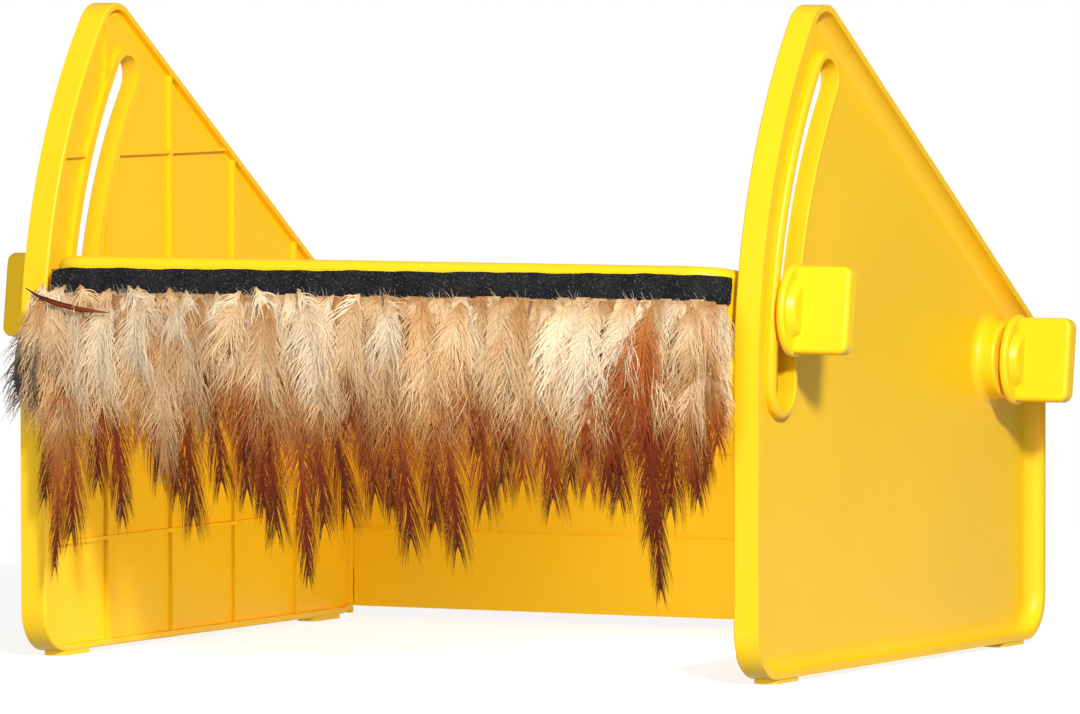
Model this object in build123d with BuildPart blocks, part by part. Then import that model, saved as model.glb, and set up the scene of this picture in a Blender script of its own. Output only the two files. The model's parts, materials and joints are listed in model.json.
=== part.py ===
"""Adjustable chick shelter: a heated plate between two side panels, with a feather curtain.

Millimetres, +Z up, X across the entrance, -Y at the entrance.
The origin is on the floor, in the middle of the whole object's box.
"""
from build123d import *
from math import asin, cos, radians, sin
import os

# ---------------------------------------------------------------- driving dimensions
CLEAR_WIDTH = 353.0          # between the two side panels
PANEL_DEPTH = 302.0          # front edge to rear edge of a side panel
PIVOT_FROM_FRONT = 257.0     # rear pivot, measured back from the front edge
PIVOT_HEIGHT = 134.0
TILT = 8.0                   # the plate's slope as stored, front end up
CURTAIN_PROUD = 15.0         # the curtain's front, ahead of the panels' front edges

# side panel: a moulding with a rim all round and a thin web
RIM_WIDTH = 12.5             # across, in X
RIM_WALL = 3.0
OUTER_RECESS = 7.4           # rim face down to the web, outside
INNER_RECESS = 3.0           # rim face down to the web, inside
SLANT_DEG = 34.5             # slope of the top rear edge
SLANT_MARGIN = 33.0          # from the pivot to the slanted edge
FOOT_HEIGHT = 2.0
FOOT_LENGTH = 27.0
BOTTOM_CORNER = 20.0
APEX_CORNER = 16.5
REAR_CORNER = 14.0
RIB_PITCH = 59.3
RIB_FIRST_Y = 60.2           # first upright rib, behind the front edge
RIB_FIRST_Z = 52.1
RIB_THICK = 1.8
RIB_HEIGHT = 2.0
RIB_COUNT = 4

# arc slot in each panel, and the four clamp knobs
SLOT_RADIUS = 222.5          # slot centre line, round the pivot
SLOT_WIDTH = 18.5
SLOT_LOW_DEG = -1.0
SLOT_HIGH_DEG = 36.5
LIP_WALL = 4.2
LIP_ROUND = 2.6              # soft outer edge of the lip
LIP_INNER_GAP = 0.5          # lip face below the rim's inner face
LIP_OUTER_GAP = 3.3          # lip face below the rim's outer face
RIM_COVE = 7.0               # hollow between the outer rim and the web
BOSS_RADIUS = 18.3           # the seat under a rear knob
BOSS_COVE = 4.5              # soft foot of the seat
BOSS_PROUD = 2.6             # the seat beyond the rim's outer face
FIT = 0.05                   # radial running clearance
SEAT_GAP = 0.15              # axial play on each side of a washer

STUD_RADIUS = 4.0            # M8
STUD_CLEARANCE = 0.3
STUD_INNER_X = 155.5
WASHER_RADIUS = 12.0
WASHER_THICK = 1.2
FLANGE_THICK = 4.0
FLANGE_HALF_TALL = 21.0
FLANGE_HALF_WIDE = 16.5
HUB_RADIUS = 15.0            # at the flange; the hub tapers outwards
HUB_TAPER = 32
HUB_REACH = 9.0              # from the seat to the hub's outer face
PADDLE_REACH = 31.5
PADDLE_TALL = 39.0
PADDLE_THICK = 8.5
STUD_IN_KNOB = 20.0

# heated plate, measured in its own level frame with the pivot as origin
PLATE_HALF_WIDTH = 174.0
PLATE_FRONT = 265.5          # pivot to the front face
PLATE_REAR = 30.0            # pivot to the rear face
PLATE_CORNER = 20.0
TOP_THICK = 15.0             # parting plane to the top face
BOTTOM_THICK = 12.5
SHELL_WALL = 2.5
TOP_EDGE = 4.5
BOTTOM_EDGE = 3.0
SCREW_X = 157.0
SCREW_BOSS_RADIUS = 4.5
SCREW_RADIUS = 1.5
SCREW_HEAD_RADIUS = 3.2
SCREW_HEAD_THICK = 2.0
SCREW_LENGTH = 17.0

NUT_FLATS = 13.0             # M8 hexagon, across the flats
NUT_THICK = 6.5
NUT_INNER_X = 160.0
NUT_BLOCK_HALF = 10.0
NUT_BLOCK_INNER_X = 158.0

BUSH_FLANGE_RADIUS = 13.0
BUSH_GAP = 0.3               # bush flange to the panel's lip

# heating pack inside the plate
PACK_HALF_WIDTH = 146.0
PACK_FRONT = 252.0
PACK_REAR = 4.0
SPREADER_THICK = 1.5
FILM_THICK = 0.6
INSULATION_THICK = 9.0
CUTOUT_RADIUS = 6.0
CUTOUT_THICK = 4.0
LEAD_RADIUS = 1.1
INLET_RADIUS = 5.5
INLET_BORE = 2.8
INLET_DEPTH = 14.0
INLET_X = 60.0

# ribbon, feathers and back wall
RIBBON_LOW = -2.6            # from the parting plane
RIBBON_HIGH = 9.8
ADHESIVE_INSET = 1.3         # bare edge of the ribbon, above and below its adhesive
ADHESIVE_THICK = 0.8
RIBBON_THICK = 2.2
RIBBON_WRAP = 8.0            # how far the ribbon runs back round each corner
RIBBON_CLEAR = 0.03
CURTAIN_HALF_WIDTH = 173.0
CURTAIN_THICK = 8.0
CURTAIN_LENGTH = 105.0
BAND_HEIGHT = 6.5            # sewn band above the string, which holds the quills
BAND_THICK = 1.8
STRING_RADIUS = 1.2
SWING_DROP = 20.0            # stiff feather bases, from the string to where the feathers bend
SWING_GAP = 1.3              # stiff part's end, above the bend
BEND_RADIUS = 0.8
HINGE_DROP = 12.5            # curtain hinge below the parting plane

WALL_FRONT_GAP = 9.8         # back wall's front face, ahead of the panels' rear edge
WALL_DEPTH = 6.6
WALL_SKIN = 2.6
WALL_LOW = 5.4
WALL_TOP = 121.0
WALL_GROOVE_PITCH = 40.2
WALL_GROOVE_FIRST = 44.3
GUIDE_THICK = 2.0

# ---------------------------------------------------------------- derived places
inner_x = CLEAR_WIDTH / 2
outer_x = inner_x + RIM_WIDTH
total_depth = PANEL_DEPTH + CURTAIN_PROUD
front_y = CURTAIN_PROUD - total_depth / 2       # front edge of the side panels
rear_y = total_depth / 2
pivot_y = front_y + PIVOT_FROM_FRONT
slot_seat_x = outer_x - LIP_OUTER_GAP
boss_seat_x = outer_x + BOSS_PROUD
lip_inner_x = inner_x + LIP_INNER_GAP
tilt = radians(TILT)
hinge_y = -total_depth / 2 + CURTAIN_THICK / 2  # curtain hinge line
hinge_offset = (pivot_y - hinge_y - HINGE_DROP * sin(tilt)) / cos(tilt)
hinge_z = PIVOT_HEIGHT + hinge_offset * sin(tilt) - HINGE_DROP * cos(tilt)


def plate_point(back, up):
    """World Y and Z of a point given in the plate's level frame."""
    return (
        pivot_y + back * cos(tilt) + up * sin(tilt),
        PIVOT_HEIGHT - back * sin(tilt) + up * cos(tilt),
    )


def side_plane(x, back=0.0, up=0.0):
    """A plane facing +X at a point of the plate, with its Y axis along the plate's normal."""
    y, z = plate_point(back, up)
    return Plane(origin=(x, y, z), x_dir=(0, cos(tilt), -sin(tilt)), z_dir=(1, 0, 0))


def level_plane(up=0.0):
    """A plane along the tilted plate, at a height above its parting plane."""
    y, z = plate_point(0, up)
    return Plane(origin=(0, y, z), x_dir=(1, 0, 0), z_dir=(0, sin(tilt), cos(tilt)))


def panel_outline(inset=0.0):
    """Side view of a panel, drawn as (Y, Z): upright front, arc round the pivot, slanted top."""
    slant = radians(SLANT_DEG)
    apex_angle = slant + asin(SLANT_MARGIN / PIVOT_FROM_FRONT)
    apex, arc_middle = (
        (pivot_y - PIVOT_FROM_FRONT * cos(angle), PIVOT_HEIGHT + PIVOT_FROM_FRONT * sin(angle))
        for angle in (apex_angle, apex_angle / 2)
    )
    rear_z = PIVOT_HEIGHT + (SLANT_MARGIN - (rear_y - pivot_y) * sin(slant)) / cos(slant)
    with BuildSketch() as outline:
        with BuildLine():
            Line((front_y, FOOT_HEIGHT), (front_y, PIVOT_HEIGHT))
            ThreePointArc((front_y, PIVOT_HEIGHT), arc_middle, apex)
            Polyline(apex, (rear_y, rear_z), (rear_y, FOOT_HEIGHT), (front_y, FOOT_HEIGHT))
        make_face()
        fillet(outline.vertices().group_by(Axis.Y)[0], BOTTOM_CORNER)
        fillet(outline.vertices().sort_by(Axis.Y)[-1], APEX_CORNER)
        fillet(outline.vertices().sort_by_distance((rear_y, rear_z, 0))[0], REAR_CORNER)
        if inset:
            offset(amount=-inset, kind=Kind.INTERSECTION, mode=Mode.REPLACE)
    return outline.sketch_local


def slot_outline(width):
    """Arc slot round the pivot, drawn as (Y, Z)."""
    start_angle = 180 - SLOT_HIGH_DEG
    arc_size = SLOT_HIGH_DEG - SLOT_LOW_DEG
    with BuildSketch() as outline:
        with BuildLine():
            outer = CenterArc((pivot_y, PIVOT_HEIGHT), SLOT_RADIUS + width / 2, start_angle, arc_size)
            inner = CenterArc((pivot_y, PIVOT_HEIGHT), SLOT_RADIUS - width / 2, start_angle, arc_size)
            Line(outer @ 0, inner @ 0)
            Line(outer @ 1, inner @ 1)
        make_face()
        for angle in (start_angle, start_angle + arc_size):
            end_y = pivot_y + SLOT_RADIUS * cos(radians(angle))
            end_z = PIVOT_HEIGHT + SLOT_RADIUS * sin(radians(angle))
            with Locations((end_y, end_z)):
                Circle(width / 2)
    return outline.sketch_local


def plate_outline(grow=0.0):
    """Plan of the plate in its level frame, offset outwards by grow."""
    with BuildSketch() as outline:
        with Locations((0, (PLATE_REAR - PLATE_FRONT) / 2)):
            RectangleRounded(
                2 * (PLATE_HALF_WIDTH + grow), PLATE_FRONT + PLATE_REAR + 2 * grow, PLATE_CORNER + grow
            )
    return outline.sketch_local


def save(part, name):
    """Label a finished piece and write its STEP file."""
    part.label = name
    export_step(part, f"parts/{name}.step")


def save_pair(part, name):
    """Write a right-hand piece and its mirror image."""
    save(part, f"{name}_right")
    save(mirror(part, about=Plane.YZ), f"{name}_left")


os.makedirs("parts", exist_ok=True)
plate_normal = Axis((0, 0, 0), (0, sin(tilt), cos(tilt)))

# ---------------------------------------------------------------- side panels
web_inner_x = inner_x + INNER_RECESS
wall_front_y = rear_y - WALL_FRONT_GAP
guide_y = wall_front_y - 0.3 - GUIDE_THICK / 2

# the outer side's hollow, with soft coves along the rim and round the rear knob's seat
with BuildPart() as outer_hollow:
    with BuildSketch(Plane.YZ.offset(outer_x)):
        add(panel_outline(RIM_WALL))
        with Locations((pivot_y, PIVOT_HEIGHT)):
            Circle(BOSS_RADIUS, mode=Mode.SUBTRACT)
    extrude(amount=-OUTER_RECESS)
    hollow_floor = outer_hollow.faces().filter_by(Axis.X).sort_by(Axis.X)[0]
    fillet(hollow_floor.inner_wires()[0].edges(), BOSS_COVE)
    hollow_floor = outer_hollow.faces().filter_by(Axis.X).sort_by(Axis.X)[0]
    fillet(hollow_floor.outer_wire().edges(), RIM_COVE)

with BuildPart() as side_panel:
    with BuildSketch(Plane.YZ.offset(inner_x)):
        add(panel_outline())
    extrude(amount=RIM_WIDTH)
    add(outer_hollow.part, mode=Mode.SUBTRACT)
    with BuildSketch(Plane.YZ.offset(inner_x)):
        add(panel_outline(RIM_WALL))
    extrude(amount=INNER_RECESS, mode=Mode.SUBTRACT)
    # rounded outer corners of the rim
    rim_faces = side_panel.faces().filter_by(Axis.X)
    rim_edges = rim_faces.sort_by(Axis.X)[-1].outer_wire().edges()
    rim_edges += rim_faces.sort_by(Axis.X)[0].outer_wire().edges()
    fillet(rim_edges, 1.2)
    # stiffening grid on the inner face, clear of the back wall's channel
    with BuildSketch(Plane.YZ.offset(web_inner_x)):
        for i in range(RIB_COUNT):
            with Locations((front_y + RIB_FIRST_Y + i * RIB_PITCH, 150)):
                Rectangle(RIB_THICK, 300)
            with Locations((0, RIB_FIRST_Z + i * RIB_PITCH)):
                Rectangle(PANEL_DEPTH, RIB_THICK)
        add(panel_outline(RIM_WALL), mode=Mode.INTERSECT)
        with Locations((rear_y, 150)):
            Rectangle(2 * (rear_y - guide_y), 300, mode=Mode.SUBTRACT)
    extrude(amount=-RIB_HEIGHT)
    # upright guide that holds the back wall against the rear rim
    with BuildSketch(Plane.YZ.offset(web_inner_x)):
        with Locations((guide_y, (WALL_TOP + FOOT_HEIGHT) / 2)):
            Rectangle(GUIDE_THICK, WALL_TOP - FOOT_HEIGHT)
    extrude(amount=-INNER_RECESS)
    # raised lips round the arc slot, and the pivot boss
    with BuildSketch(Plane.YZ.offset(lip_inner_x)):
        add(slot_outline(SLOT_WIDTH + 2 * LIP_WALL))
    extrude(amount=slot_seat_x - lip_inner_x)
    with BuildSketch(Plane.YZ.offset(lip_inner_x)):
        with Locations((pivot_y, PIVOT_HEIGHT)):
            Circle(SLOT_WIDTH / 2 + LIP_WALL)
    extrude(amount=web_inner_x - lip_inner_x)
    with BuildSketch(Plane.YZ.offset(web_inner_x)):
        with Locations((pivot_y, PIVOT_HEIGHT)):
            Circle(BOSS_RADIUS)
    extrude(amount=boss_seat_x - web_inner_x)
    boss_edges = side_panel.faces().filter_by(Axis.X).sort_by(Axis.X)[-1].edges()
    fillet(boss_edges, 1.5)
    # feet under both ends
    with BuildSketch():
        for y in (front_y + BOTTOM_CORNER - 3, rear_y - BOTTOM_CORNER - FOOT_LENGTH):
            with Locations((inner_x + RIM_WIDTH / 2, y + FOOT_LENGTH / 2)):
                RectangleRounded(RIM_WIDTH - 1, FOOT_LENGTH, 4.0)
    extrude(amount=FOOT_HEIGHT + RIM_WALL / 2)
    # slot and pivot hole right through
    with BuildSketch(Plane.YZ.offset(inner_x)):
        add(slot_outline(SLOT_WIDTH))
        with Locations((pivot_y, PIVOT_HEIGHT)):
            Circle(SLOT_WIDTH / 2)
    extrude(amount=RIM_WIDTH + 2 * BOSS_PROUD, mode=Mode.SUBTRACT)
    lip_face = side_panel.faces().filter_by(Axis.X).sort_by_distance(
        (slot_seat_x, pivot_y - SLOT_RADIUS - SLOT_WIDTH / 2, PIVOT_HEIGHT)
    )[0]
    fillet(lip_face.outer_wire().edges(), LIP_ROUND)
    fillet(lip_face.inner_wires()[0].edges(), 0.6)
save_pair(side_panel.part, "side_panel")

# ---------------------------------------------------------------- back wall
with BuildPart() as back_wall:
    wall_half = web_inner_x - 0.3
    # the lower corners stay between the panels, clear of their rounded rims
    corner_height = BOTTOM_CORNER + FOOT_HEIGHT + 2 - WALL_LOW
    corner_half = inner_x - 0.3
    with BuildSketch(Plane.XZ.offset(-wall_front_y - WALL_DEPTH)):
        with Locations((0, (WALL_LOW + WALL_TOP) / 2)):
            Rectangle(2 * wall_half, WALL_TOP - WALL_LOW)
        for side in (-1, 1):
            with Locations((side * (corner_half + wall_half) / 2, WALL_LOW + corner_height / 2)):
                Rectangle(wall_half - corner_half, corner_height, mode=Mode.SUBTRACT)
    extrude(amount=WALL_DEPTH)
    # pockets in the rear, leaving ribs between them
    with BuildSketch(Plane.XZ.offset(-wall_front_y - WALL_DEPTH)):
        with Locations((0, (WALL_LOW + WALL_TOP) / 2)):
            with GridLocations(2 * wall_half / 6, (WALL_TOP - WALL_LOW) / 3, 6, 3):
                RectangleRounded(2 * wall_half / 6 - 3, (WALL_TOP - WALL_LOW) / 3 - 3, 2.0)
    extrude(amount=WALL_DEPTH - WALL_SKIN, mode=Mode.SUBTRACT)
    # level grooves across the front
    with BuildSketch(Plane.XZ.offset(-wall_front_y)):
        for i in range(2):
            with Locations((0, WALL_GROOVE_FIRST + i * WALL_GROOVE_PITCH)):
                Rectangle(2 * wall_half, 2.0)
    extrude(amount=-0.9, mode=Mode.SUBTRACT)
save(back_wall.part, "back_wall")

# ---------------------------------------------------------------- plate shells
nut_backs = (-SLOT_RADIUS, 0.0)
pack_mid_y = (PLATE_REAR - PLATE_FRONT) / 2
screw_rows = 4
screw_spacing = (PLATE_FRONT + PLATE_REAR - 44) / (screw_rows - 1)
inlet_y, inlet_z = plate_point(PLATE_REAR, 0)
inlet_plane = Plane(origin=(INLET_X, inlet_y, inlet_z), x_dir=(1, 0, 0), z_dir=(0, cos(tilt), -sin(tilt)))


def screw_places():
    """Screw centres on the plate's level plan."""
    return GridLocations(2 * SCREW_X, screw_spacing, 2, screw_rows)


def nut_blocks(height):
    """Solid blocks round the four captive nuts, from the parting plane."""
    with BuildSketch(level_plane()) as blocks:
        for back in nut_backs:
            for side in (-1, 1):
                middle = (NUT_BLOCK_INNER_X + PLATE_HALF_WIDTH - 1) / 2
                with Locations((side * middle, back)):
                    Rectangle(PLATE_HALF_WIDTH - 1 - NUT_BLOCK_INNER_X, 2 * NUT_BLOCK_HALF)
    extrude(blocks.sketch, amount=height)


def nut_pockets():
    """Hexagon pockets and stud holes on the parting plane, both sides."""
    for back in nut_backs:
        for side in (-1, 1):
            with BuildSketch(side_plane(side * (NUT_INNER_X - 0.1), back)) as pocket:
                RegularPolygon(NUT_FLATS / 2 + 0.1, 6, major_radius=False)
            extrude(pocket.sketch, amount=side * (NUT_THICK + 0.2), mode=Mode.SUBTRACT)
            with BuildSketch(side_plane(side * (NUT_BLOCK_INNER_X - 8), back)) as hole:
                Circle(STUD_RADIUS + STUD_CLEARANCE)
            extrude(hole.sketch, amount=side * 30, mode=Mode.SUBTRACT)


with BuildPart() as plate_top_shell:
    with BuildSketch(level_plane()):
        add(plate_outline())
    extrude(amount=TOP_THICK)
    fillet(plate_top_shell.faces().sort_by(plate_normal)[-1].edges(), TOP_EDGE)
    with BuildSketch(level_plane()):
        add(plate_outline(-SHELL_WALL))
    extrude(amount=TOP_THICK - SHELL_WALL, mode=Mode.SUBTRACT)
    with BuildSketch(level_plane()):
        with Locations((0, pack_mid_y)):
            with screw_places():
                Circle(SCREW_BOSS_RADIUS)
    extrude(amount=TOP_THICK - SHELL_WALL / 2)
    nut_blocks(NUT_BLOCK_HALF)
    nut_pockets()
    with BuildSketch(level_plane()):
        with Locations((0, pack_mid_y)):
            with screw_places():
                Circle(SCREW_RADIUS + FIT)
    extrude(amount=SCREW_LENGTH - 7, mode=Mode.SUBTRACT)
    with BuildSketch(inlet_plane.offset(1)):
        Circle(INLET_RADIUS + 0.1)
    extrude(amount=-INLET_DEPTH, mode=Mode.SUBTRACT)
    # parting groove along the lower outer edge
    parting_edges = plate_top_shell.faces().sort_by(plate_normal)[0].outer_wire().edges()
    chamfer(parting_edges.filter_by(GeomType.CIRCLE), 0.4)
save(plate_top_shell.part, "plate_top_shell")

with BuildPart() as plate_bottom_shell:
    with BuildSketch(level_plane()):
        add(plate_outline())
    extrude(amount=-BOTTOM_THICK)
    fillet(plate_bottom_shell.faces().sort_by(plate_normal)[0].edges(), BOTTOM_EDGE)
    with BuildSketch(level_plane()):
        add(plate_outline(-SHELL_WALL))
    extrude(amount=-(BOTTOM_THICK - SHELL_WALL), mode=Mode.SUBTRACT)
    with BuildSketch(level_plane()):
        with Locations((0, pack_mid_y)):
            with screw_places():
                Circle(SCREW_BOSS_RADIUS)
    extrude(amount=-(BOTTOM_THICK - SHELL_WALL / 2))
    nut_blocks(-(BOTTOM_THICK - SHELL_WALL / 2))
    nut_pockets()
    with BuildSketch(level_plane(-BOTTOM_THICK)):
        with Locations((0, pack_mid_y)):
            with screw_places():
                Circle(SCREW_RADIUS + 0.3)
    extrude(amount=BOTTOM_THICK, mode=Mode.SUBTRACT)
    with BuildSketch(level_plane(-BOTTOM_THICK)):
        with Locations((0, pack_mid_y)):
            with screw_places():
                Circle(SCREW_HEAD_RADIUS + 0.4)
    extrude(amount=SCREW_HEAD_THICK + 1, mode=Mode.SUBTRACT)
    with BuildSketch(inlet_plane.offset(1)):
        Circle(INLET_RADIUS + 0.1)
    extrude(amount=-INLET_DEPTH, mode=Mode.SUBTRACT)
save(plate_bottom_shell.part, "plate_bottom_shell")

with BuildPart() as shell_screws:
    head_up = -BOTTOM_THICK + 1
    with BuildSketch(level_plane(head_up)):
        with Locations((0, pack_mid_y)):
            with screw_places():
                Circle(SCREW_HEAD_RADIUS)
    extrude(amount=SCREW_HEAD_THICK)
    with BuildSketch(level_plane(head_up)):
        with Locations((0, pack_mid_y)):
            with screw_places():
                Circle(SCREW_RADIUS)
    extrude(amount=SCREW_LENGTH + SCREW_HEAD_THICK)
save(shell_screws.part, "shell_screws")

# ---------------------------------------------------------------- heating pack
pack_floor = -(BOTTOM_THICK - SHELL_WALL)
pack_length = PACK_FRONT + PACK_REAR
pack_y = (PACK_REAR - PACK_FRONT) / 2
film_up = pack_floor + SPREADER_THICK
insulation_up = film_up + FILM_THICK
spreader_rear = PACK_REAR + 16

with BuildPart() as heat_spreader:
    with BuildSketch(level_plane(pack_floor)):
        with Locations((0, (spreader_rear - PACK_FRONT) / 2)):
            RectangleRounded(2 * PACK_HALF_WIDTH, PACK_FRONT + spreader_rear, 8.0)
    extrude(amount=SPREADER_THICK)
save(heat_spreader.part, "heat_spreader")

with BuildPart() as heating_film:
    with BuildSketch(level_plane(film_up)):
        with Locations((0, pack_y)):
            RectangleRounded(2 * PACK_HALF_WIDTH - 8, pack_length - 8, 6.0)
        with Locations((INLET_X + 24, PACK_REAR)):
            Rectangle(30, 16)
    extrude(amount=FILM_THICK)
save(heating_film.part, "heating_film")

with BuildPart() as insulation_pad:
    with BuildSketch(level_plane(insulation_up)):
        with Locations((0, pack_y)):
            RectangleRounded(2 * PACK_HALF_WIDTH, pack_length, 8.0)
    extrude(amount=INSULATION_THICK)
save(insulation_pad.part, "insulation_pad")

cutout_x = 18.0
lead_back = PACK_REAR + 9
with BuildPart() as thermal_cutout:
    with BuildSketch(level_plane(film_up)):
        with Locations((cutout_x, lead_back)):
            Circle(CUTOUT_RADIUS)
    extrude(amount=CUTOUT_THICK)
save(thermal_cutout.part, "thermal_cutout")

with BuildPart() as power_inlet:
    with BuildSketch(inlet_plane):
        Circle(INLET_RADIUS)
    extrude(amount=-INLET_DEPTH)
    with BuildSketch(inlet_plane):
        Circle(INLET_RADIUS + 1.6)
    extrude(amount=1.0)
    with BuildSketch(inlet_plane.offset(1)):
        Circle(INLET_BORE)
    extrude(amount=-INLET_DEPTH + 3, mode=Mode.SUBTRACT)
    with BuildSketch(inlet_plane.offset(2 - INLET_DEPTH)):
        Circle(1.0)
    extrude(amount=INLET_DEPTH - 4)
save(power_inlet.part, "power_inlet")


def lead(corners):
    """A round lead along straight runs joined by arcs, in the plate's level frame."""
    points = []
    for x, back, up in corners:
        y, z = plate_point(back, up)
        points.append((x, y, z))
    with BuildLine() as route:
        FilletPolyline(*points, radius=3.0)
    with BuildSketch(Plane(origin=points[0], z_dir=route.line % 0)) as section:
        Circle(LEAD_RADIUS)
    sweep(section.sketch, path=route.line)


cutout_top = film_up + CUTOUT_THICK
inlet_inner = PLATE_REAR - INLET_DEPTH
with BuildPart() as power_leads:
    turn_back = lead_back - 4
    for start_x, end_x, end_up in (
        (INLET_X - 2.5, cutout_x + 3, cutout_top),
        (INLET_X + 2.5, INLET_X + 18, insulation_up),
    ):
        corners = [(start_x, inlet_inner, 0), (start_x, turn_back, 0), (end_x, turn_back, 0)]
        lead(corners + [(end_x, turn_back, end_up)])
save(power_leads.part, "power_leads")

# ---------------------------------------------------------------- bushes, nuts and knobs
for name, back, seat_x in (("slot_bushes", -SLOT_RADIUS, slot_seat_x), ("pivot_bushes", 0.0, boss_seat_x)):
    with BuildPart() as bushes:
        with BuildSketch(side_plane(PLATE_HALF_WIDTH, back)):
            Circle(BUSH_FLANGE_RADIUS)
        extrude(amount=lip_inner_x - BUSH_GAP - PLATE_HALF_WIDTH)
        with BuildSketch(side_plane(PLATE_HALF_WIDTH, back)):
            Circle(SLOT_WIDTH / 2 - FIT)
        extrude(amount=seat_x - 0.2 - PLATE_HALF_WIDTH)
        with BuildSketch(side_plane(PLATE_HALF_WIDTH, back)):
            Circle(STUD_RADIUS + STUD_CLEARANCE)
        extrude(amount=seat_x - PLATE_HALF_WIDTH, mode=Mode.SUBTRACT)
        mirror(about=Plane.YZ)
    save(bushes.part, name)

with BuildPart() as captive_nuts:
    for back in nut_backs:
        with BuildSketch(side_plane(NUT_INNER_X, back)):
            RegularPolygon(NUT_FLATS / 2, 6, major_radius=False)
            Circle(STUD_RADIUS + FIT, mode=Mode.SUBTRACT)
        extrude(amount=NUT_THICK)
    mirror(about=Plane.YZ)
save(captive_nuts.part, "captive_nuts")

for end, back, seat_x in (("front", -SLOT_RADIUS, slot_seat_x), ("rear", 0.0, boss_seat_x)):
    flange_x = seat_x + 2 * SEAT_GAP + WASHER_THICK
    tip_x = seat_x + PADDLE_REACH
    # thumb paddle: a flat tab with well rounded outer corners
    with BuildPart() as paddle:
        with BuildSketch(side_plane(flange_x + 1, back)):
            Rectangle(PADDLE_THICK, PADDLE_TALL)
        extrude(amount=tip_x - flange_x - 1)
        end_edges = paddle.faces().sort_by(Axis.X)[-1].edges()
        fillet(end_edges.sort_by(Edge.length)[:2], 4.5)
        fillet(paddle.edges().filter_by(lambda edge: edge.center().X > flange_x + 2), 2.0)
    with BuildPart() as knob:
        with BuildSketch(side_plane(flange_x, back)):
            Ellipse(FLANGE_HALF_WIDE, FLANGE_HALF_TALL)
        extrude(amount=FLANGE_THICK)
        fillet(knob.edges(), FLANGE_THICK / 2 - 0.1)
        # low hub, tapering towards the paddle
        with BuildSketch(side_plane(flange_x + FLANGE_THICK / 2, back)):
            Circle(HUB_RADIUS)
        extrude(amount=seat_x + HUB_REACH - flange_x - FLANGE_THICK / 2, taper=HUB_TAPER)
        fillet(knob.faces().sort_by(Axis.X)[-1].edges(), 1.5)
        add(paddle.part)
        with BuildSketch(side_plane(flange_x, back)):
            Circle(STUD_RADIUS + 0.02)
        extrude(amount=seat_x + STUD_IN_KNOB - flange_x, mode=Mode.SUBTRACT)
    save_pair(knob.part, f"knob_{end}")

    with BuildPart() as stud:
        with BuildSketch(side_plane(STUD_INNER_X, back)):
            Circle(STUD_RADIUS)
        extrude(amount=seat_x + STUD_IN_KNOB - STUD_INNER_X)
        chamfer(stud.faces().sort_by(Axis.X)[0].edges(), 1.0)
    save_pair(stud.part, f"stud_{end}")

    with BuildPart() as washer:
        with BuildSketch(side_plane(seat_x + SEAT_GAP, back)):
            Circle(WASHER_RADIUS)
            Circle(STUD_RADIUS + STUD_CLEARANCE, mode=Mode.SUBTRACT)
        extrude(amount=WASHER_THICK)
    save_pair(washer.part, f"washer_{end}")

# ---------------------------------------------------------------- ribbon, stringing cord and feathers
for name, inner, outer, edge in (
    ("ribbon_adhesive", RIBBON_CLEAR, ADHESIVE_THICK, ADHESIVE_INSET),
    ("curtain_ribbon", ADHESIVE_THICK, ADHESIVE_THICK + RIBBON_THICK, 0.0),
):
    with BuildPart() as strip:
        with BuildSketch(level_plane(RIBBON_LOW + edge)):
            with Locations((0, -PLATE_FRONT)):
                Rectangle(2 * PLATE_HALF_WIDTH + 20, 2 * RIBBON_WRAP)
            add(plate_outline(outer), mode=Mode.INTERSECT)
            add(plate_outline(inner), mode=Mode.SUBTRACT)
        extrude(amount=RIBBON_HIGH - RIBBON_LOW - 2 * edge)
    save(strip.part, name)

with BuildPart() as stringing_band:
    with BuildSketch(Plane.YZ.offset(-CURTAIN_HALF_WIDTH)):
        with Locations((hinge_y, hinge_z)):
            Circle(STRING_RADIUS)
        with Locations((hinge_y, hinge_z + BAND_HEIGHT / 2)):
            Rectangle(BAND_THICK, BAND_HEIGHT)
    extrude(amount=2 * CURTAIN_HALF_WIDTH)
save(stringing_band.part, "stringing_band")

# feather bases: the quill ends, stiff as one piece, hanging from the string
half = CURTAIN_THICK / 2
with BuildPart() as curtain_header:
    with BuildSketch(Plane.YZ.offset(-CURTAIN_HALF_WIDTH)):
        with Locations((hinge_y, hinge_z)):
            Polygon(
                (-1, -STRING_RADIUS - 0.4), (-half, -10), (-half, -14), (-1, SWING_GAP - SWING_DROP),
                (1, SWING_GAP - SWING_DROP), (half, -14), (half, -10), (1, -STRING_RADIUS - 0.4), align=None,
            )
    extrude(amount=2 * CURTAIN_HALF_WIDTH)
save(curtain_header.part, "curtain_header")

with BuildPart() as feather_curtain:
    with BuildSketch(Plane.YZ.offset(-CURTAIN_HALF_WIDTH)):
        with Locations((hinge_y, hinge_z - SWING_DROP)):
            # round core on the line where the feathers bend
            Circle(BEND_RADIUS)
        with Locations((hinge_y, hinge_z)):
            Polygon(
                (-0.7, -SWING_DROP - 0.3), (-half, -SWING_DROP - 6), (-half, -80), (-1.5, -CURTAIN_LENGTH),
                (1.5, -CURTAIN_LENGTH), (half, -80), (half, -SWING_DROP - 6), (0.7, -SWING_DROP - 0.3),
                align=None,
            )
    extrude(amount=2 * CURTAIN_HALF_WIDTH)
save(feather_curtain.part, "feather_curtain")
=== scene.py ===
import json
import random
from math import cos, pi, radians, sin

import bpy
from mathutils import Matrix, Vector


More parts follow.
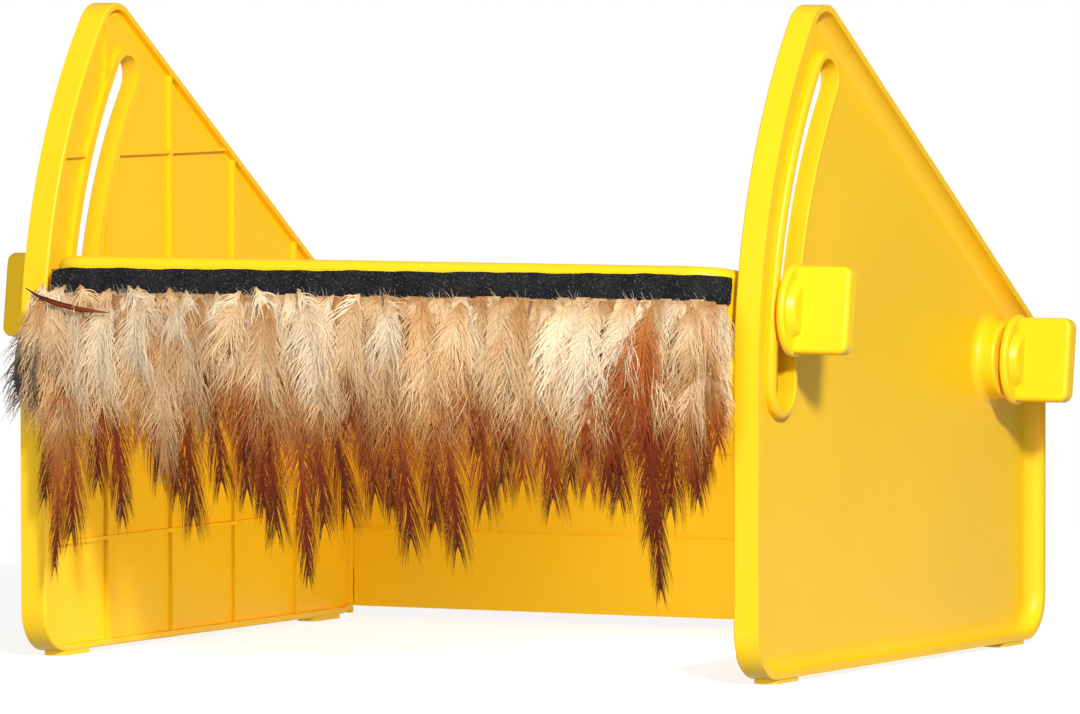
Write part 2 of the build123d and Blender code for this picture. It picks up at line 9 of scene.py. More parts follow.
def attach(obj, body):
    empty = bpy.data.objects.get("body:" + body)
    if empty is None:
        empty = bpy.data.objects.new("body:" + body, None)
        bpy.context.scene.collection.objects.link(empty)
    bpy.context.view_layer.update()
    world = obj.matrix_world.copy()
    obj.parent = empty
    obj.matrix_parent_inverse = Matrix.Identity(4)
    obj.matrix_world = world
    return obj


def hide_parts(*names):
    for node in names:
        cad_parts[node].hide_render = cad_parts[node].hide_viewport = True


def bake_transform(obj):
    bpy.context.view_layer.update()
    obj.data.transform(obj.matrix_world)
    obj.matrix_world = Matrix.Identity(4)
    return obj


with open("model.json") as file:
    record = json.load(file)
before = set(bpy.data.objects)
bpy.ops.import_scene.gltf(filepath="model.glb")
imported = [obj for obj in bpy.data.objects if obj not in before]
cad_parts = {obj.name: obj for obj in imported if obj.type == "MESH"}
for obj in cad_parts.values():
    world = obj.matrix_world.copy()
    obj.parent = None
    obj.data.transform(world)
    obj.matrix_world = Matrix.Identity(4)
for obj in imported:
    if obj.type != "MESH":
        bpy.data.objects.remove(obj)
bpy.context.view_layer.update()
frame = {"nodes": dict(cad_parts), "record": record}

# ---------------------------------------------------------------- camera
# a long lens to the right of the entrance, a little above the plate and looking slightly down
CAMERA_PLACE = (2.00746, -3.79258, 0.33319)
CAMERA_AZIMUTH, CAMERA_DOWN, CAMERA_ROLL = radians(27.836), radians(2.631), radians(0.104)
CAMERA_LENS = 309.4

camera_data = bpy.data.cameras.new("camera")
camera_data.lens = CAMERA_LENS
camera_data.sensor_width = 36.0
camera_data.clip_start = 0.05
camera_data.clip_end = 60.0
camera = bpy.data.objects.new("camera", camera_data)
camera.matrix_world = (
    Matrix.Translation(CAMERA_PLACE)
    @ Matrix.Rotation(CAMERA_AZIMUTH, 4, "Z")
    @ Matrix.Rotation(pi / 2 - CAMERA_DOWN, 4, "X")
    @ Matrix.Rotation(-CAMERA_ROLL, 4, "Z")
)
bpy.context.scene.collection.objects.link(camera)
bpy.context.scene.camera = camera
bpy.context.scene.view_settings.view_transform = "Standard"


# ---------------------------------------------------------------- small tools
def link(name, data):
    """Puts new data in the scene as an object."""
    piece = bpy.data.objects.new(name, data)
    bpy.context.scene.collection.objects.link(piece)
    return piece


def mesh_piece(name, vertices, faces, material, smooth=True):
    """A mesh object with one material."""
    data = bpy.data.meshes.new(name)
    data.from_pydata(vertices, [], faces)
    data.validate()
    if smooth:
        data.polygons.foreach_set("use_smooth", [True] * len(data.polygons))
    data.materials.append(material)
    return link(name, data)


class Nodes:
    """A material's node tree with short calls for adding and joining nodes."""

    def __init__(self, name):
        self.material = bpy.data.materials.new(name)
        self.material.use_nodes = True
        self.tree = self.material.node_tree
        self.shader = self.tree.nodes["Principled BSDF"]
        self.coordinates = self.tree.nodes.new("ShaderNodeTexCoord").outputs["Object"]

    def add(self, kind, **settings):
        """A new shader node, with its settings."""
        node = self.tree.nodes.new("ShaderNode" + kind)
        for key, value in settings.items():
            setattr(node, key, value)
        return node

    def join(self, output, socket):
        self.tree.links.new(output, socket)

    def noise(self, scale, detail=2.0, roughness=0.5, stretch=None):
        """Noise in the object's own coordinates, drawn out where stretch says."""
        node = self.add("TexNoise")
        node.inputs["Scale"].default_value = scale
        node.inputs["Detail"].default_value = detail
        node.inputs["Roughness"].default_value = roughness
        source = self.coordinates
        if stretch:
            mapping = self.add("Mapping")
            mapping.inputs["Scale"].default_value = stretch
            self.join(source, mapping.inputs["Vector"])
            source = mapping.outputs["Vector"]
        self.join(source, node.inputs["Vector"])
        return node.outputs["Fac"]

    def ramp(self, value, stops):
        """Colours at places along a value."""
        node = self.add("ValToRGB")
        elements = node.color_ramp.elements
        while len(elements) < len(stops):
            elements.new(0.5)
        for element, (place, color) in zip(elements, stops):
            element.position = place
            element.color = (*color, 1.0) if len(color) == 3 else color
        self.join(value, node.inputs["Fac"])
        return node.outputs["Color"]

    def span(self, value, low, high, start=0.3, end=0.7):
        """A value between start and end, carried over to between low and high."""
        node = self.add("MapRange")
        node.inputs["From Min"].default_value = start
        node.inputs["From Max"].default_value = end
        node.inputs["To Min"].default_value = low
        node.inputs["To Max"].default_value = high
        self.join(value, node.inputs["Value"])
        return node.outputs["Result"]

    def mix(self, factor, first, second, blend="MIX"):
        """Two colours blended; each value is a socket, a colour or a number."""
        node = self.add("Mix", data_type="RGBA", blend_type=blend)
        # a colour mix keeps its factor in input 0, its colours in inputs 6 and 7, and its result in output 2
        for socket, value in ((node.inputs[0], factor), (node.inputs[6], first), (node.inputs[7], second)):
            if hasattr(value, "is_linked"):
                self.join(value, socket)
            elif isinstance(value, tuple):
                socket.default_value = (*value, 1.0)
            else:
                socket.default_value = value
        return node.outputs[2]

    def bump(self, height, distance, strength=1.0, below=None):
        """A bump over the smooth surface, or over another bump below it."""
        node = self.add("Bump")
        node.inputs["Distance"].default_value = distance
        node.inputs["Strength"].default_value = strength
        self.join(height, node.inputs["Height"])
        if below is not None:
            self.join(below, node.inputs["Normal"])
        return node.outputs["Normal"]

    def set(self, **values):
        """Fills the shader's sockets and gives the finished material."""
        for key, value in values.items():
            socket = self.shader.inputs[key.replace("_", " ")]
            if hasattr(value, "is_linked"):
                self.join(value, socket)
            elif isinstance(value, tuple) and len(value) == 3 and socket.type == "RGBA":
                socket.default_value = (*value, 1.0)
            else:
                socket.default_value = value
        return self.material


def shades(color, low, high):
    """Two shades of one colour."""
    return tuple(c * low for c in color), tuple(min(1.0, c * high) for c in color)


# ---------------------------------------------------------------- materials
def moulded_plastic(name, color, roughness, grain=0.00002, sheen_noise=9.0):
    """Satin moulded plastic: broad colour drift, fine texture, faint scuffs and dust."""
    n = Nodes(name)
    dark, light = shades(color, 0.965, 1.02)
    drift = n.ramp(n.noise(sheen_noise, 3.0), [(0.35, dark), (0.65, light)])
    specks = n.ramp(n.noise(900.0, 2.0), [(0.30, shades(color, 0.9, 1.0)[0]), (0.42, (1.0, 1.0, 1.0))])
    base = n.mix(0.10, drift, specks, "MULTIPLY")
    scuffs = n.noise(60.0, 6.0, 0.7, (1.0, 6.0, 1.0))
    rough = n.span(scuffs, roughness - 0.05, roughness + 0.08, 0.35, 0.75)
    fine = n.bump(n.noise(1500.0, 2.0), grain, 0.35)
    normal = n.bump(n.noise(14.0, 2.0), 0.0004, 0.12, fine)
    return n.set(Base_Color=base, Roughness=rough, Normal=normal, Specular_IOR_Level=0.28)


def brushed_metal(name, color, roughness, stretch):
    """Metal with fine drawn lines."""
    n = Nodes(name)
    dark, light = shades(color, 0.75, 1.1)
    lines = n.noise(400.0, 4.0, 0.6, stretch)
    base = n.ramp(lines, [(0.3, dark), (0.7, light)])
    rough = n.span(lines, roughness - 0.08, roughness + 0.12)
    return n.set(Base_Color=base, Roughness=rough, Metallic=1.0, Normal=n.bump(lines, 0.00003, 0.4))


def felt(name, color):
    """Matted or twisted fibre."""
    n = Nodes(name)
    dark, light = shades(color, 0.7, 1.1)
    fibres = n.noise(700.0, 6.0, 0.7)
    return n.set(Base_Color=n.ramp(fibres, [(0.35, dark), (0.65, light)]), Roughness=0.95,
                 Normal=n.bump(fibres, 0.0006, 0.8), Sheen_Weight=0.3)


YELLOW, LIGHT_YELLOW = (0.94, 0.572, 0.008), (0.95, 0.60, 0.008)
panel_plastic = moulded_plastic("panel_plastic", YELLOW, 0.38)
plate_plastic = moulded_plastic("plate_plastic", LIGHT_YELLOW, 0.36)
knob_plastic = moulded_plastic("knob_plastic", LIGHT_YELLOW, 0.34)
bush_plastic = moulded_plastic("bush_plastic", (0.83, 0.52, 0.02), 0.40)
inlet_plastic = moulded_plastic("inlet_plastic", (0.02, 0.02, 0.021), 0.42)
cutout_plastic = moulded_plastic("cutout_plastic", (0.05, 0.045, 0.04), 0.5)
film_plastic = moulded_plastic("film_plastic", (0.42, 0.17, 0.02), 0.25)
lead_rubber = moulded_plastic("lead_rubber", (0.5, 0.03, 0.02), 0.45)
fixing_steel = brushed_metal("fixing_steel", (0.62, 0.62, 0.64), 0.32, (1.0, 8.0, 8.0))
spreader_metal = brushed_metal("spreader_metal", (0.80, 0.80, 0.82), 0.30, (1.0, 12.0, 1.0))
insulation_felt = felt("insulation_felt", (0.7, 0.68, 0.62))
cord_fabric = felt("cord_fabric", (0.6, 0.52, 0.42))
adhesive_foam = felt("adhesive_foam", (0.05, 0.05, 0.05))

node_materials = {
    "panel_plastic": panel_plastic, "plate_plastic": plate_plastic, "knob_plastic": knob_plastic,
    "bush_plastic": bush_plastic, "inlet_plastic": inlet_plastic, "cutout_plastic": cutout_plastic,
    "film_plastic": film_plastic, "lead_rubber": lead_rubber, "fixing_steel": fixing_steel,
    "spreader_metal": spreader_metal, "insulation_felt": insulation_felt, "cord_fabric": cord_fabric,
    "adhesive": adhesive_foam, "ribbon_fabric": adhesive_foam, "feathers": cord_fabric,
}
for sub in frame["record"]["subparts"]:
    node = frame["nodes"][sub["node"]]
    for material_slot in node.material_slots:
        material_slot.material = node_materials[sub["material_slot"]]


# ---------------------------------------------------------------- black loop tape across the plate's front
PIVOT_Y, PIVOT_Z, TILT = 0.1135, 0.134, radians(8)               # the plate's tilt axis, and its tilt at rest
PLATE_FRONT, PLATE_HALF, PLATE_CORNER = 0.2655, 0.174, 0.020     # from the tilt axis, from the middle, radius


def plate_place(x, back, up):
    """World point for a point of the plate's level frame."""
    y = PIVOT_Y + back * cos(TILT) + up * sin(TILT)
    z = PIVOT_Z - back * sin(TILT) + up * cos(TILT)
    return Vector((x, y, z))


def tape_path(along, out):
    """x and back of a point out from the plate's front outline, by length from its middle."""
    side = 1.0 if along > 0 else -1.0
    straight = PLATE_HALF - PLATE_CORNER
    distance = abs(along)
    if distance <= straight:
        return side * distance, -PLATE_FRONT - out
    turn = (distance - straight) / (PLATE_CORNER + TAPE_MIDDLE)
    radius = PLATE_CORNER + out
    return side * straight + side * sin(turn) * radius, -PLATE_FRONT + PLATE_CORNER - cos(turn) * radius


def ripple(along, seed):
    """Slow uneven wave from -1 to 1."""
    return (sin(along * 210.0 + seed) + 0.7 * sin(along * 93.0 + 2.1 * seed)
            + 0.5 * sin(along * 471.0 + 3.3 * seed)) / 2.2


TAPE_HALF_LENGTH = 0.178
TAPE_LOW, TAPE_HIGH = -0.0026, 0.0098        # up from the plate's parting line
TAPE_SKEW = 0.0060                           # rise per length along it
TAPE_MIDDLE, TAPE_FACE = 0.0022, 0.0027      # out from the plate: the layer that keeps its length, the face
TAPE_COLUMNS = 420
EDGE_WAVE, FACE_GATHER = 0.0004, 0.00045     # unevenness of the edges, and of the face
# the tape across its width: out from the plate, and share of the way from its lower edge to its upper one
TAPE_PROFILE = [
    (0.0010, 0.0), (0.0022, 0.02), (0.0027, 0.09), (0.0029, 0.3), (0.0028, 0.5),
    (0.0029, 0.7), (0.0027, 0.91), (0.0022, 0.98), (0.0010, 1.0),
]
vertices, faces = [], []
for i in range(TAPE_COLUMNS + 1):
    along = TAPE_HALF_LENGTH * (2.0 * i / TAPE_COLUMNS - 1.0)
    low = TAPE_LOW + TAPE_SKEW * along + EDGE_WAVE * ripple(along, 1.0)
    high = TAPE_HIGH + TAPE_SKEW * along + EDGE_WAVE * ripple(along, 4.0)
    for out, share in TAPE_PROFILE:
        gather = FACE_GATHER * ripple(along * 3.1, 2.0 + 2.0 * share) * sin(pi * share)
        x, back = tape_path(along, out + gather)
        vertices.append(plate_place(x, back, low + (high - low) * share))
rows = len(TAPE_PROFILE)
for i in range(TAPE_COLUMNS):
    for j in range(rows - 1):
        k = i * rows + j
        faces.append((k, k + rows, k + rows + 1, k + 1))


def loop_tape_material():
    """Black loop tape with pale specks painted on it as glints of light."""
    n = Nodes("loop_tape")
    loops = n.noise(1300.0, 4.0, 0.75)
    # pale specks: painted glints, highlights on single loops painted into the colour
    painted_glints = n.ramp(n.noise(1250.0, 3.0, 0.8), [(0.60, (0.0, 0.0, 0.0)), (0.70, (1.0, 1.0, 1.0))])
    patches = n.ramp(n.noise(110.0, 3.0), [(0.35, (0.006, 0.006, 0.007)), (0.65, (0.016, 0.016, 0.018))])
    tuft = n.ramp(loops, [(0.35, (0.5, 0.5, 0.5)), (0.65, (1.8, 1.8, 1.8))])
    base = n.mix(painted_glints, n.mix(1.0, patches, tuft, "MULTIPLY"), (0.24, 0.24, 0.26))
    return n.set(Base_Color=base, Roughness=0.92, Specular_IOR_Level=0.2, Normal=n.bump(loops, 0.0009, 0.9))


def pile_material():
    """Black fibres, a few of them painted pale as glints of light."""
    n = Nodes("tape_pile")
    # the palest stop paints glints of light on a few fibres
    strands = n.ramp(n.noise(900.0, 2.0), [(0.35, (0.008, 0.008, 0.01)), (0.58, (0.03, 0.03, 0.034)),
                                          (0.70, (0.40, 0.40, 0.42))])
    return n.set(Base_Color=strands, Roughness=0.6)


loop_tape = mesh_piece("loop_tape", vertices, faces, loop_tape_material())

# short bent fibres that make the tape's loop pile
FIBRES, FIBRE_THICK, FIBRE_SPREAD, FIBRE_FOOT = 9000, 0.00007, 0.0008, 0.0001
TAPE_EDGE = 0.0002                           # left bare along each edge
dice = random.Random(5)
vertices, faces = [], []
for _ in range(FIBRES):
    along = dice.uniform(-TAPE_HALF_LENGTH, TAPE_HALF_LENGTH) * 0.998
    up = dice.uniform(TAPE_LOW + TAPE_EDGE, TAPE_HIGH - TAPE_EDGE) + TAPE_SKEW * along
    drift = dice.uniform(-FIBRE_SPREAD, FIBRE_SPREAD)
    rise = dice.uniform(-FIBRE_SPREAD, FIBRE_SPREAD)
    start = len(vertices)
    for share, lift in ((0.0, 0.0), (0.5, dice.uniform(0.0004, 0.0009)), (1.0, FIBRE_FOOT)):
        x, back = tape_path(along + drift * share, TAPE_FACE + lift)
        place = plate_place(x, back, up + rise * share)
        vertices += [place, place + Vector((FIBRE_THICK, 0.0, 1.6 * FIBRE_THICK))]
    faces += [(start, start + 1, start + 3, start + 2), (start + 2, start + 3, start + 5, start + 4)]
tape_pile = mesh_piece("tape_pile", vertices, faces, pile_material(), smooth=False)
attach(loop_tape, "plate")
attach(tape_pile, "plate")
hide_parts("curtain_ribbon")

# ---------------------------------------------------------------- feathers
PALE, CREAM, BEIGE = (0.86, 0.70, 0.48), (0.80, 0.56, 0.31), (0.64, 0.38, 0.17)
TAN, AMBER, RUST = (0.46, 0.21, 0.060), (0.38, 0.095, 0.016), (0.21, 0.029, 0.005)
DARK, SMOKE, CHAR = (0.085, 0.012, 0.004), (0.32, 0.22, 0.13), (0.075, 0.052, 0.045)

# palettes: colours by place along a feather, from 0 at its root to 1 at its tip
LONG_TIPPED = [(0.0, CREAM), (0.28, BEIGE), (0.44, TAN), (0.54, AMBER), (0.68, RUST), (1.0, DARK)]
LONG_RUST = [(0.0, BEIGE), (0.18, TAN), (0.36, AMBER), (0.58, RUST), (1.0, DARK)]
LONG_AMBER = [(0.0, PALE), (0.36, CREAM), (0.50, TAN), (0.64, AMBER), (0.85, RUST), (1.0, DARK)]
SOFT_TAN = [(0.0, BEIGE), (0.20, CREAM), (0.50, CREAM), (0.66, TAN), (0.82, AMBER), (1.0, RUST)]
SOFT_PALE = [(0.0, BEIGE), (0.22, PALE), (0.70, PALE), (1.0, BEIGE)]
SOFT_WARM = [(0.0, TAN), (0.25, CREAM), (0.6, BEIGE), (0.85, TAN), (1.0, AMBER)]
SMOKY = [(0.0, TAN), (0.25, BEIGE), (0.55, CREAM), (0.8, BEIGE), (1.0, TAN)]
GINGER = [(0.0, TAN), (0.35, AMBER), (0.7, AMBER), (1.0, RUST)]
ASHEN = [(0.0, SMOKE), (0.3, SMOKE), (0.55, CHAR), (0.85, CHAR), (1.0, SMOKE)]

# shapes: width by place along a feather, as a share of its widest
FULL_SHAPE = [
    (0.0, 0.14), (0.10, 0.70), (0.32, 1.0), (0.52, 0.86),
    (0.68, 0.56), (0.82, 0.34), (0.93, 0.20), (1.0, 0.05),
]
BLUNT_SHAPE = [(0.0, 0.10), (0.13, 0.75), (0.45, 1.0), (0.75, 0.92), (0.92, 0.60), (1.0, 0.25)]
COVER_SHAPE = [(0.0, 0.75), (0.2, 1.0), (0.75, 0.9), (0.92, 0.6), (1.0, 0.25)]

FRONT_LIMIT = -0.1768        # the farthest forward that any feather comes
SIDE_LIMIT = 0.1742          # half of the clear width between the panels
BARB_PITCH = 0.00046
TIP_START = 0.86             # from here on the barbs make the feather's frayed end
VANE_END = 0.93              # where the closed vane stops
TIP_VANE = 0.13              # closed share of the width in the firm outer part
SHAFT_STEPS, VANE_STEPS = 12, 14


def between(stops, t):
    """Value at t along a list of (place, value), numbers or colours."""
    for (t0, a), (t1, b) in zip(stops, stops[1:]):
        if t <= t1:
            f = (t - t0) / (t1 - t0)
            if isinstance(a, tuple):
                return tuple(p + (q - p) * f for p, q in zip(a, b))
            return a + (b - a) * f
    return stops[-1][1]


def feather_material(name, roughness=0.75):
    """Barbs coloured along each feather, with fine streaks and a soft sheen."""
    n = Nodes(name)
    tint = n.add("VertexColor", layer_name="tint").outputs["Color"]
    lengthwise = n.noise(500.0, 3.0, 0.6, (3.0, 1.0, 0.5))
    streaks = n.ramp(lengthwise, [(0.3, (0.82, 0.80, 0.77)), (0.7, (1.08, 1.08, 1.08))])
    return n.set(Base_Color=n.mix(1.0, tint, streaks, "MULTIPLY"), Roughness=roughness,
                 Specular_IOR_Level=0.15, Sheen_Weight=0.06, Sheen_Roughness=0.5,
                 Normal=n.bump(n.noise(900.0, 2.0), 0.0002, 0.3))


feather_look = feather_material("feather_vane")


class Feather:
    """One hanging feather's course, outline and colours, by place t from 0 at its root to 1 at its tip.

    lean and bend carry the tip sideways, puff bows it forward and yaw turns it about its shaft. down is the
    share of its length that is fluffy, vane the closed share of its width there, and limit the farthest that
    any point may be from the middle.
    """

    def __init__(self, root, length, width, palette, shape=FULL_SHAPE, lean=0.0, bend=0.0, puff=0.0, yaw=0.0,
                 down=0.6, limit=None, vane=0.5):
        self.root, self.length, self.width = root, length, width
        self.palette, self.shape = palette, shape
        self.lean, self.bend, self.puff = lean, bend, puff
        self.across = Vector((cos(yaw), sin(yaw), 0.0))
        self.down, self.limit, self.vane = down, limit, vane

    def shaft(self, t):
        side = self.lean * self.length * t + self.bend * self.length * t * t
        front = self.puff * sin(pi * min(1.0, t * 1.15)) - 0.12 * self.puff * t
        return self.root + Vector((side, -front, -self.length * t))

    def half_width(self, t):
        return 0.5 * self.width * between(self.shape, t)

    def inside(self, point):
        """The point, held between the panels and behind the front limit."""
        if self.limit:
            point.x = max(-self.limit, min(self.limit, point.x))
        point.y = max(FRONT_LIMIT, point.y)
        return point


class Plumage:
    """Gathers many feathers into one mesh: shafts, vanes and separate barbs, with a colour at each point."""

    def __init__(self, seed):
        self.dice = random.Random(seed)
        self.vertices, self.faces, self.colors = [], [], []

    def strip(self, pairs, colors):
        """A ribbon through pairs of points."""
        start = len(self.vertices)
        for (a, b), color in zip(pairs, colors):
            self.vertices += [a, b]
            self.colors += [color, color]
        for i in range(start, start + 2 * len(pairs) - 2, 2):
            self.faces.append((i, i + 1, i + 3, i + 2))

    def add(self, feather):
        """Lays the feather's shaft, its vane and then its barbs, which stick together in clumps."""
        d = self.dice
        gain = d.uniform(0.90, 1.08)
        self.lay_shaft(feather)
        self.lay_vane(feather, gain)
        count = int(feather.length / BARB_PITCH)
        clump, shared = 0, 0.0
        for side in (-1, 1):
            for i in range(count):
                t = (i + d.random()) / count
                if clump <= 0:
                    clump, shared = d.randint(3, 7), d.uniform(-1.0, 1.0)
                clump -= 1
                self.lay_barb(feather, side, t, shared, gain)

    def lay_shaft(self, feather):
        ahead = Vector((0, -0.0003, 0))
        pairs, tints = [], []
        for i in range(SHAFT_STEPS + 1):
            t = i / SHAFT_STEPS
            half = 0.00035 * (1 - 0.75 * i / SHAFT_STEPS)
            p = feather.shaft(t)
            left, right = p - feather.across * half + ahead, p + feather.across * half + ahead
            pairs.append((feather.inside(left), feather.inside(right)))
            tints.append(tuple(c * 0.75 for c in between(feather.palette, t)))
        self.strip(pairs, tints)

    def lay_vane(self, feather, gain):
        """The closed part of the feather, just behind its barbs."""
        pairs, tints = [], []
        for i in range(VANE_STEPS + 1):
            t = i / VANE_STEPS * VANE_END
            half = feather.half_width(t) * (feather.vane if t < feather.down else TIP_VANE)
            p = feather.shaft(t) + Vector((0, 0.0005, 0))
            left, right = p - feather.across * half, p + feather.across * half
            pairs.append((feather.inside(left), feather.inside(right)))
            tints.append(tuple(c * 0.88 * gain for c in between(feather.palette, t)))
        self.strip(pairs, tints)

    def lay_barb(self, feather, side, t, shared, gain):
        """One barb from the shaft at t: loose and curled in the fluffy part, straight beyond it."""
        d = self.dice
        fluffy = max(0.0, min(1.0, (feather.down + 0.08 - t) / 0.16))
        firm = 1.0 - fluffy
        here, after = feather.shaft(t), feather.shaft(t + 0.01)
        along = (after - here).normalized()
        out = (feather.across - along * feather.across.dot(along)).normalized() * side
        face = along.cross(out)
        angle = radians(21 + 28 * fluffy) + radians(5) * shared * firm
        angle += radians(2.5 + 8.0 * fluffy) * d.gauss(0, 1)
        half = feather.half_width(t)
        half *= 1.0 + 0.28 * d.uniform(-1, 1) + 0.22 * shared * firm
        reach = min(half / max(0.27, sin(max(0.1, angle) * 0.72)), 0.74 * feather.width)
        if t > TIP_START:
            reach = max(reach, 0.35 * feather.width * d.uniform(0.5, 1.2))
        curl = d.uniform(-1.6, 1.6) * fluffy
        wave = d.uniform(0.0, 6.28)
        lift = d.uniform(-0.10, 0.22) * (0.35 + fluffy)
        bright = gain * d.uniform(0.86, 1.09)
        segments = 5 if fluffy > 0.3 else 4
        point = here.copy()
        pairs, tints = [], []
        for k in range(segments + 1):
            u = k / segments
            turn = angle * (1.0 - 0.62 * u) + 0.32 * curl * sin(4.2 * u + wave)
            heading = along * cos(turn) + out * sin(turn)
            if k:
                sway = face * side * lift * 0.4 * sin(4.0 * u + wave)
                point = point + (heading + sway + Vector((0, -lift * u, 0))) * (reach / segments)
            thick = (0.00014 + 0.00013 * fluffy) * (1.0 - 0.84 * u)
            wide = (out * cos(turn) - along * sin(turn)) * thick
            pairs.append((feather.inside(point - wide), feather.inside(point + wide)))
            color = between(feather.palette, min(1.0, t + 0.10 * u))
            glow = bright * (1.0 + 0.16 * u * fluffy)
            tints.append(tuple(min(1.0, c * glow) for c in color))
        self.strip(pairs, tints)

    def finish(self, name):
        """The gathered feathers as one piece."""
        piece = mesh_piece(name, self.vertices, self.faces, feather_look, smooth=False)
        layer = piece.data.color_attributes.new("tint", "FLOAT_COLOR", "POINT")
        flat = [value for color in self.colors for value in (*color, 1.0)]
        layer.data.foreach_set("color", flat)
        return piece


def swinging(piece):
    """Bakes the piece's placement into its mesh and gives it back; nothing holds its upper end or lets it
    swing.
    """
    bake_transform(piece)
    return piece


# long feathers with dark tips: x of the root, x and z of the tip, width, palette
long_feathers = [
    (-0.160, -0.169, 0.075, 0.024, LONG_RUST), (-0.156, -0.163, 0.044, 0.020, LONG_AMBER),
    (-0.150, -0.155, 0.060, 0.036, LONG_AMBER), (-0.131, -0.128, 0.068, 0.026, LONG_RUST),
    (-0.112, -0.108, 0.090, 0.036, LONG_AMBER), (-0.094, -0.090, 0.069, 0.038, LONG_TIPPED),
    (-0.080, -0.076, 0.085, 0.032, LONG_TIPPED), (-0.064, -0.062, 0.082, 0.034, LONG_AMBER),
    (-0.050, -0.047, 0.064, 0.036, LONG_TIPPED), (-0.036, -0.031, 0.044, 0.026, LONG_TIPPED),
    (-0.020, -0.011, 0.075, 0.038, LONG_TIPPED), (-0.002, 0.004, 0.082, 0.036, LONG_AMBER),
    (0.016, 0.022, 0.062, 0.036, LONG_TIPPED), (0.040, 0.046, 0.059, 0.034, LONG_TIPPED),
    (0.060, 0.059, 0.080, 0.036, LONG_AMBER), (0.078, 0.078, 0.090, 0.034, SOFT_TAN),
    (0.092, 0.094, 0.082, 0.034, LONG_AMBER), (0.112, 0.112, 0.090, 0.034, SOFT_TAN),
    (0.128, 0.127, 0.083, 0.034, LONG_TIPPED), (0.142, 0.147, 0.043, 0.026, LONG_RUST),
    (0.155, 0.152, 0.080, 0.034, LONG_RUST), (0.163, 0.166, 0.084, 0.028, LONG_TIPPED),
    (-0.141, -0.140, 0.084, 0.030, LONG_TIPPED), (-0.103, -0.099, 0.080, 0.030, LONG_TIPPED),
    (-0.058, -0.054, 0.074, 0.030, LONG_RUST), (-0.028, -0.022, 0.068, 0.030, LONG_TIPPED),
    (0.008, 0.012, 0.076, 0.030, LONG_RUST), (0.031, 0.034, 0.070, 0.032, LONG_TIPPED),
    (0.070, 0.068, 0.088, 0.030, LONG_TIPPED), (0.103, 0.102, 0.090, 0.030, LONG_TIPPED),
    (0.120, 0.121, 0.088, 0.030, LONG_RUST), (0.148, 0.142, 0.068, 0.030, LONG_RUST),
    (0.1685, 0.1690, 0.092, 0.022, LONG_AMBER),
]
long_feathers.sort(key=lambda row: row[0])
LONG_ROW_Y, LONG_ROW_Z = -0.1560, 0.1655
LONG_STAGGER, LONG_WIDEN = 0.0012, 1.15
LONG_GROUPS = 4
for g in range(LONG_GROUPS):
    plumage = Plumage(100 + g)
    for k, (root_x, tip_x, tip_z, width, palette) in enumerate(long_feathers):
        if k * LONG_GROUPS // len(long_feathers) != g:
            continue
        root_z = LONG_ROW_Z + plumage.dice.uniform(-0.002, 0.001)
        length = root_z - tip_z
        slope = (tip_x - root_x) / length
        plumage.add(Feather(
            Vector((root_x, LONG_ROW_Y - LONG_STAGGER * (k % 2), root_z)), length, LONG_WIDEN * width,
            palette, lean=slope * 0.5, bend=slope * 0.5, puff=0.002 + 0.001 * (k % 3),
            yaw=plumage.dice.uniform(-0.15, 0.15), down=0.52, limit=SIDE_LIMIT,
        ))
    swinging(plumage.finish(f"feathers_long_{g + 1}"))

# middle row: broad soft feathers with tan ends, ginger near the right-hand panel
GINGER_X = 0.145
for g in range(3):
    plumage = Plumage(200 + g)
    d = plumage.dice
    for k in range(6):
        x = -0.158 + 0.0191 * (6 * g + k) + d.uniform(-0.003, 0.003)
        local = GINGER if abs(x - GINGER_X) < 0.025 else SOFT_TAN
        palette = d.choice([SOFT_TAN, SOFT_WARM, LONG_AMBER, SMOKY, SOFT_TAN, local])
        lean = d.uniform(-0.10, 0.10)
        plumage.add(Feather(
            Vector((x, -0.1595 - d.uniform(0, 0.0015), 0.1665)), d.uniform(0.054, 0.076),
            d.uniform(0.030, 0.040), palette, lean=lean, bend=-0.4 * lean, puff=0.004,
            yaw=d.uniform(-0.25, 0.25), down=0.7, limit=SIDE_LIMIT,
        ))
    swinging(plumage.finish(f"feathers_middle_{g + 1}"))

# front row: short downy feathers
for g in range(3):
    plumage = Plumage(300 + g)
    d = plumage.dice
    for k in range(7):
        x = -0.161 + 0.0163 * (7 * g + k) + d.uniform(-0.004, 0.004)
        palette = d.choice([SOFT_PALE, SOFT_PALE, SOFT_WARM, SMOKY, SOFT_TAN])
        if 0.140 < x < 0.166:
            palette = GINGER
        lean = d.uniform(-0.14, 0.14)
        plumage.add(Feather(
            Vector((x, -0.1622 - d.uniform(0, 0.0018), 0.1680)), d.uniform(0.034, 0.056),
            d.uniform(0.024, 0.034), palette, BLUNT_SHAPE, lean=lean, bend=-0.3 * lean, puff=0.005,
            yaw=d.uniform(-0.3, 0.3), down=1.0, limit=SIDE_LIMIT, vane=0.22 if palette is GINGER else 0.5,
        ))
    swinging(plumage.finish(f"feathers_downy_{g + 1}"))

# close tufts that fill the line just under the tape
TUFT_SKEW, HAIR_SKEW = 0.0058, 0.0055        # rise per length, near the tape's
cover = Plumage(400)
d = cover.dice
for k in range(100):
    x = -0.1725 + 0.00348 * k + d.uniform(-0.001, 0.001)
    cover.add(Feather(
        Vector((x, -0.1556 - d.uniform(0, 0.0008), 0.1693 + TUFT_SKEW * x + d.uniform(-0.0003, 0.0003))),
        d.uniform(0.012, 0.018), d.uniform(0.009, 0.013), d.choice([SOFT_WARM, SOFT_TAN]), COVER_SHAPE,
        lean=d.uniform(-0.1, 0.1), down=1.0, limit=SIDE_LIMIT, vane=1.0,
    ))
